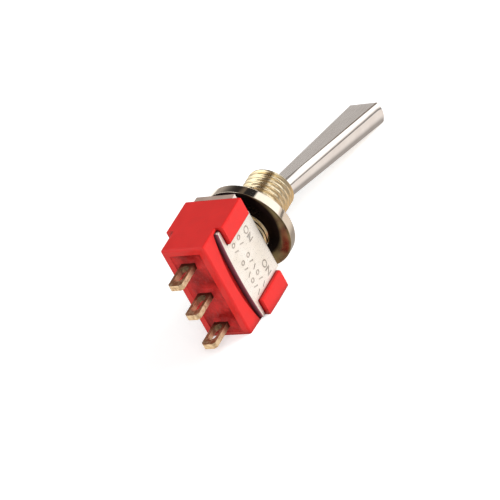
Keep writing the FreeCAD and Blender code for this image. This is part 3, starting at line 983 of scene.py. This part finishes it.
def lever_ring(radius, half):
    """Points across the lever: two flats, or round strips in their place, and two arcs."""
    arc_steps, flat_steps = 22, 10
    flat_share, edge_angle, round_corner = 0.955, 0.045, 0.45
    corner = math.acos(min(half / radius, 1.0)) if half else round_corner
    bare = corner + edge_angle
    points = []
    for side in (1, -1):
        for k in range(flat_steps + 1):
            share = (2 * k / flat_steps - 1) * flat_share
            if half:
                points.append((side * half, side * radius * math.sin(corner) * share))
            else:
                points.append((side * radius * math.cos(corner * share),
                               side * radius * math.sin(corner * share)))
        for k in range(arc_steps + 1):
            angle = bare + (math.pi - 2 * bare) * k / arc_steps
            points.append((side * radius * math.cos(angle), side * radius * math.sin(angle)))
    return points


def lean_over(bm):
    """Leans an upright shape as the lever leans, and lifts it to the pivot."""
    bmesh.ops.transform(bm, matrix=LEVER_TURN, verts=bm.verts)
    bmesh.ops.translate(bm, vec=(0, 0, drop(PIVOT_HEIGHT)), verts=bm.verts)
    return bm


class SWITCH_OT_lever(bpy.types.Operator):
    """Long lever, round and widening, with a milled flat on each side."""
    bl_idname = "switch.lever"
    bl_label = "Lever"

    def execute(self, context):
        bm = bmesh.new()
        rings = [[bm.verts.new((x, y, t)) for x, y in lever_ring(radius, half)]
                 for t, radius, half in lever_rows()]
        count = len(rings[0])
        for low, high in zip(rings, rings[1:]):
            for k in range(count):
                n = (k + 1) % count
                bm.faces.new((low[k], low[n], high[n], high[k]))
        bm.faces.new(rings[0])
        bm.faces.new(rings[-1])
        bmesh.ops.recalc_face_normals(bm, faces=bm.faces)
        piece = plain_object("bat_lever", lean_over(bm))
        bore_mouth = -5.0
        bore = drill(BORE_RADIUS, bore_mouth, -BORE_END)
        cut(piece, plain_object("bore_cutter", lean_over(bore)))
        silver = opaque(context.scene.switch_colours.lever_silver)
        shade = srgb(238, 231, 226)
        polished = plated_metal("lever_round", silver, shade, roughness=0.07, grain_mm=0.12,
                                depth_mm=0.001, spread=0.03, stretch=(1.0, 1.0, 16.0),
                                turn_y=LEVER_THROW)
        brushed = plated_metal("lever_flat", silver, shade, roughness=0.26, grain_mm=0.1,
                               depth_mm=0.0015, spread=0.06, stretch=(1.0, 1.0, 60.0),
                               turn_y=LEVER_THROW)
        seat(piece, [polished, brushed], "lever", ["lever"], sharp=11.5)
        across = LEVER_TURN.to_3x3() @ Vector((1, 0, 0))
        pivot = Vector((0, 0, drop(PIVOT_HEIGHT)))
        paint(piece, 1, lambda centre, normal: abs(normal.dot(across)) > 0.995
              and (centre - pivot).dot(LEVER_AXIS) > FLAT_START)
        return {"FINISHED"}


class SWITCH_OT_blades(bpy.types.Operator):
    """Three solder blades with wire eyes."""
    bl_idname = "switch.blades"
    bl_label = "Solder Blades"

    def execute(self, context):
        width = context.scene.switch_sizes.blade_round * METRE
        plating = blade_plating(context.scene.switch_colours)
        for place in ("left", "common", "right"):
            bm = cad_copy("terminal_" + place)
            soften(bm, width, segments=3)
            seat(plain_object("solder_blade_" + place, bm), [plating], "housing",
                 ["terminal_" + place])
        return {"FINISHED"}


class SWITCH_OT_works(bpy.types.Operator):
    """Coil spring by rule, and finishes for the other hidden pieces."""
    bl_idname = "switch.works"
    bl_label = "Inner Works"

    def execute(self, context):
        steel = plated_metal("drawn_steel", srgb(190, 190, 190), srgb(150, 150, 152),
                             roughness=0.25, grain_mm=0.1, depth_mm=0.003)
        brass = plated_metal("strip_brass", srgb(214, 180, 110), srgb(188, 150, 88),
                             roughness=0.28, grain_mm=0.2, depth_mm=0.004)
        silver = plated_metal("button_silver", srgb(232, 230, 224), srgb(206, 202, 196),
                              roughness=0.22, grain_mm=0.15, depth_mm=0.004)
        self.spring(steel)
        finishes = {"guide_pin": steel, "plunger": natural_nylon(), "contact_strip": brass}
        for side in ("left", "right"):
            finishes["moving_button_" + side] = silver
            finishes["fixed_button_" + side] = silver
        for name, material in finishes.items():
            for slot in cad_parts[name].material_slots:
                slot.material = material
        return {"FINISHED"}

    def spring(self, steel):
        """Spring in the lever's stem, squashed towards the end of the bore."""
        spring_low = 2.08
        piece = plain_object("coil_spring", bmesh.new())
        run_tree(piece, coil_tree(), {"Turns": 5.0, "Coil Radius": 0.58, "Wire Radius": 0.1,
                                      "Rise": 1.36}, steel)
        lift = Matrix.Translation((0, 0, drop(PIVOT_HEIGHT)))
        piece.data.transform(lift @ LEVER_TURN @ Matrix.Translation((0, 0, -spring_low)))
        seat(piece, [steel], "lever", ["plunger_spring"], weighted=False)
        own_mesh(piece)


def view_axes():
    """The camera's right, up and backward directions."""
    right = Vector(CAMERA_RIGHT).normalized()
    up = -Vector(CAMERA_DOWN)
    up = (up - right * up.dot(right)).normalized()
    return right, up, right.cross(up)


class SWITCH_OT_stage(bpy.types.Operator):
    """Pale floor that the switch lies on, soft lamps, and the photograph's camera."""
    bl_idname = "switch.stage"
    bl_label = "Stage"

    def execute(self, context):
        scene = context.scene
        scene.view_settings.view_transform = "Standard"
        right, up, back = view_axes()
        self.camera(scene, right, up, back)
        self.floor()
        self.tent()
        self.world(scene)
        self.lamps(back)
        return {"FINISHED"}

    def camera(self, scene, right, up, back):
        """The photograph's camera."""
        lens = bpy.data.cameras.new("photo_camera")
        lens.sensor_width = SENSOR_WIDTH
        lens.lens = SENSOR_WIDTH * FOCAL_PIXELS / PICTURE_PIXELS
        lens.clip_start = 0.01
        lens.clip_end = 20.0
        scene.camera = new_object("photo_camera", lens)
        turn = Matrix((right, up, back)).transposed().to_4x4()
        scene.camera.matrix_world = Matrix.Translation(CAMERA_PLACE) @ turn

    def floor(self):
        """Floor under the end of the case and the tip of the lever, on which the switch lies."""
        case_gap, tip_inset, clearance, half_size = 0.01, 0.1, 0.02, 3.0
        edge = Vector((CASE_END + case_gap, 0, drop(CASE_HEIGHT))) * MM
        tip = Vector((lever_section(LEVER_LENGTH)[1], 0, LEVER_LENGTH - tip_inset))
        tip = (LEVER_TURN.to_3x3() @ tip + Vector((0, 0, drop(PIVOT_HEIGHT)))) * MM
        along = (tip - edge).normalized()
        normal = Vector((-along.z, 0, along.x))
        side = normal.cross(along)
        bm = bmesh.new()
        corners = [edge + along * a * half_size + side * b * half_size - normal * clearance * MM
                   for a, b in ((-1, -1), (1, -1), (1, 1), (-1, 1))]
        face = bm.faces.new([bm.verts.new(corner) for corner in corners])
        face.normal_update()
        if face.normal.dot(normal) < 0:
            face.normal_flip()
        piece = plain_object("floor", bm)
        piece.data.materials.append(floor_paper(shade=0.85, lift=0.42))
        piece.visible_glossy = False

    def tent(self):
        """Seen only in reflections: pale panels, grey gaps and dark flags."""
        tent = Tent(ground=(0.35, 0.325, 0.305))
        white, glare = (1.16, 1.16, 1.15), (1.5, 1.5, 1.45)
        warm, flag = (0.8, 0.75, 0.71), (0.028, 0.025, 0.024)
        tent.panel(48, 30, 50, -0.95, -0.4, (0.96, 0.9, 0.8))
        tent.panel(165, 30, 75, -1.2, 0.34, glare)
        tent.panel(160, 30, 70, 0.94, 1.2, glare)
        tent.panel(172, 8, 60, 0.42, 0.9, flag)
        tent.panel(350, 40, 70, -0.6, 0.3, (0.66, 0.52, 0.38))
        tent.panel(190, 6, 26, -1.2, 1.2, (0.16, 0.125, 0.095))
        tent.panel(193, 11, 15, 0.5, 0.76, (0.022, 0.021, 0.023))
        tent.panel(238, 29, 34, 0.5, 0.76, white)
        tent.panel(70, 18, 32, 0.2, 0.84, white)
        tent.panel(299, 6, 42, 0.0, 1.2, warm)
        tent.panel(250, 20, 26, 0.1, 1.2, white)
        tent.panel(283, 2, 5, 0.2, 0.95, (0.2, 0.19, 0.18))
        bm = bmesh.new()
        bmesh.ops.create_icosphere(bm, subdivisions=5, radius=1.5)
        piece = plain_object("reflection_tent", bm)
        piece.data.materials.append(tent.close(strength=1.16))
        piece.visible_camera = False
        piece.visible_diffuse = False
        piece.visible_shadow = False

    def world(self, scene):
        """White where it is seen, and dimmer as a light."""
        scene.world = bpy.data.worlds.new("studio")
        scene.world.use_nodes = True
        tree = scene.world.node_tree
        light = tree.nodes["Background"]
        light.inputs["Color"].default_value = (1, 1, 1, 1)
        strength = map_range(tree, plain_sight(tree), 0, 1, 0.45, 1.0)
        tree.links.new(strength, light.inputs["Strength"])

    def lamps(self, back):
        """A key lamp on one side and a fill behind the camera, both soft."""
        distance = 0.4
        for name, way, power, size in (
                ("soft_key", Vector((-0.36, -0.62, 0.70)), 1.45, 0.26),
                ("soft_fill", back, 0.9, 0.3)):
            lamp = bpy.data.lights.new(name, "AREA")
            lamp.shape = "SQUARE"
            lamp.size = size
            lamp.energy = power
            holder = new_object(name, lamp)
            holder.matrix_world = (Matrix.Translation(way.normalized() * distance)
                                   @ way.to_track_quat("Z", "Y").to_matrix().to_4x4())
            holder.visible_glossy = False


class SWITCH_PT_panel(bpy.types.Panel):
    """Sizes, colours and steps of the switch."""
    bl_idname = "SWITCH_PT_panel"
    bl_label = "Toggle Switch"
    bl_space_type = "VIEW_3D"
    bl_region_type = "UI"
    bl_category = "Switch"

    def draw(self, context):
        layout = self.layout
        for group in (context.scene.switch_sizes, context.scene.switch_colours):
            for name in group.__annotations__:
                layout.prop(group, name)
        for operator in OPERATORS:
            layout.operator(operator.bl_idname)


OPERATORS = (SWITCH_OT_case, SWITCH_OT_seal, SWITCH_OT_frame, SWITCH_OT_bushing,
             SWITCH_OT_nut, SWITCH_OT_lever, SWITCH_OT_blades, SWITCH_OT_works,
             SWITCH_OT_stage)
CLASSES = (SwitchSizes, SwitchColours) + OPERATORS + (SWITCH_PT_panel,)


def register():
    """Makes the sizes, colours, operators and panel known to Blender."""
    for item in CLASSES:
        bpy.utils.register_class(item)
    bpy.types.Scene.switch_sizes = bpy.props.PointerProperty(type=SwitchSizes)
    bpy.types.Scene.switch_colours = bpy.props.PointerProperty(type=SwitchColours)


def unregister():
    """Takes the sizes, colours, operators and panel out again."""
    del bpy.types.Scene.switch_colours
    del bpy.types.Scene.switch_sizes
    for item in reversed(CLASSES):
        bpy.utils.unregister_class(item)


def main():
    """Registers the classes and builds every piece."""
    register()
    bpy.ops.switch.case()
    bpy.ops.switch.seal()
    bpy.ops.switch.frame()
    bpy.ops.switch.bushing()
    bpy.ops.switch.nut()
    bpy.ops.switch.lever()
    bpy.ops.switch.blades()
    bpy.ops.switch.works()
    bpy.ops.switch.stage()


if __name__ == "__main__":
    main()
